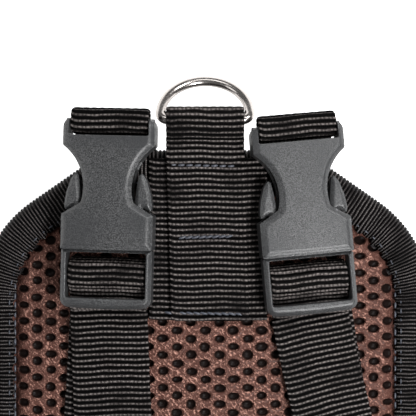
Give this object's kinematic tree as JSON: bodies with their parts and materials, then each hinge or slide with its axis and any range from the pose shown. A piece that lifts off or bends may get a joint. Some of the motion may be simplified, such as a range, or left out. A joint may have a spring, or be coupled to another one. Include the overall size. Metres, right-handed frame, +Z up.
{
  "type": "safety harness vest",
  "caption": "Padded mesh harness vest with a leash ring, side-release shoulder buckles and adjustable webbing straps, laid flat with its back panel up.",
  "frame": {"origin": "centre of the bounding box at the floor", "axes": "+Z up, +Y from the vest's lower edge towards its leash ring, +X towards the wearer's right side"},
  "size_m": [0.1954, 0.2208, 0.0369],
  "materials": {
    "air_mesh": "open knit",
    "foam": "open-cell foam",
    "lining": "smooth knit",
    "binding_tape": "ribbed",
    "webbing": "ribbed weave",
    "buckle_plastic": "fine grain",
    "nickel": "polished"
  },
  "bodies": {
    "vest": {"back_mesh_face": "air_mesh", "back_foam_core": "foam", "back_lining": "lining", "back_binding": "binding_tape", "chest_mesh_face": "air_mesh", "chest_foam_core": "foam", "chest_lining": "lining", "chest_binding": "binding_tape", "backing_webbing": "webbing", "d_ring_webbing": "webbing", "waist_band": "webbing", "left_shoulder_strap": "webbing", "right_shoulder_strap": "webbing", "left_socket": "buckle_plastic", "right_socket": "buckle_plastic", "left_adjusting_strap": "webbing", "right_adjusting_strap": "webbing", "left_side_strap": "webbing", "right_side_strap": "webbing"},
    "d_ring": {"d_ring": "nickel"},
    "left_plug": {"left_plug": "buckle_plastic", "left_strap_tail": "webbing"},
    "right_plug": {"right_plug": "buckle_plastic", "right_strap_tail": "webbing"},
    "left_inner_prong": {"left_inner_prong": "buckle_plastic"},
    "left_outer_prong": {"left_outer_prong": "buckle_plastic"},
    "right_outer_prong": {"right_outer_prong": "buckle_plastic"},
    "right_inner_prong": {"right_inner_prong": "buckle_plastic"},
    "left_tri_glide": {"left_tri_glide": "buckle_plastic", "left_side_tail": "webbing"},
    "right_tri_glide": {"right_tri_glide": "buckle_plastic", "right_side_tail": "webbing"}
  },
  "joints": [
    {"name": "d_ring_swing", "type": "hinge", "parent": "vest", "child": "d_ring", "pos_m": [0, 0.09627, 0.02805], "axis": [1, 0, 0], "range_deg": [-45, 135]},
    {"name": "left_release", "type": "slide", "parent": "vest", "child": "left_plug", "axis": [-0.026, -0.9997, -0.0031], "range_m": [0, 0.028], "deforming": ["left_inner_prong", "left_outer_prong"]},
    {"name": "right_release", "type": "slide", "parent": "vest", "child": "right_plug", "axis": [0.09, -0.9959, -0.0111], "range_m": [0, 0.028], "deforming": ["right_outer_prong", "right_inner_prong"]},
    {"name": "left_squeeze", "type": "hinge", "parent": "left_plug", "child": "left_inner_prong", "pos_m": [-0.0208, 0.06052, 0.03099], "axis": [-0.1173, 0, 0.9931], "range_deg": [0, 8], "stiffness_Nm_per_rad": 0.01},
    {"name": "left_squeeze_outer", "type": "hinge", "parent": "left_plug", "child": "left_outer_prong", "pos_m": [-0.03966, 0.06102, 0.02877], "axis": [-0.1173, 0, 0.9931], "range_deg": [-8, 0], "stiffness_Nm_per_rad": 0.01},
    {"name": "right_squeeze", "type": "hinge", "parent": "right_plug", "child": "right_outer_prong", "pos_m": [0.04061, 0.06001, 0.0286], "axis": [0.1224, 0, 0.9925], "range_deg": [0, 8], "stiffness_Nm_per_rad": 0.01},
    {"name": "right_squeeze_inner", "type": "hinge", "parent": "right_plug", "child": "right_inner_prong", "pos_m": [0.02183, 0.05829, 0.03092], "axis": [0.1224, 0, 0.9925], "range_deg": [-8, 0], "stiffness_Nm_per_rad": 0.01},
    {"name": "left_girth_slide", "type": "slide", "parent": "vest", "child": "left_tri_glide", "axis": [-0.9788, 0, -0.2047], "range_m": [-0.016, 0.016]},
    {"name": "right_girth_slide", "type": "slide", "parent": "vest", "child": "right_tri_glide", "axis": [0.9788, 0, -0.2047], "range_m": [-0.016, 0.016]}
  ],
  "couplings": [
    {"joint": "left_squeeze_outer", "follows": "left_squeeze", "ratio": -1},
    {"joint": "right_squeeze_inner", "follows": "right_squeeze", "ratio": -1}
  ]
}
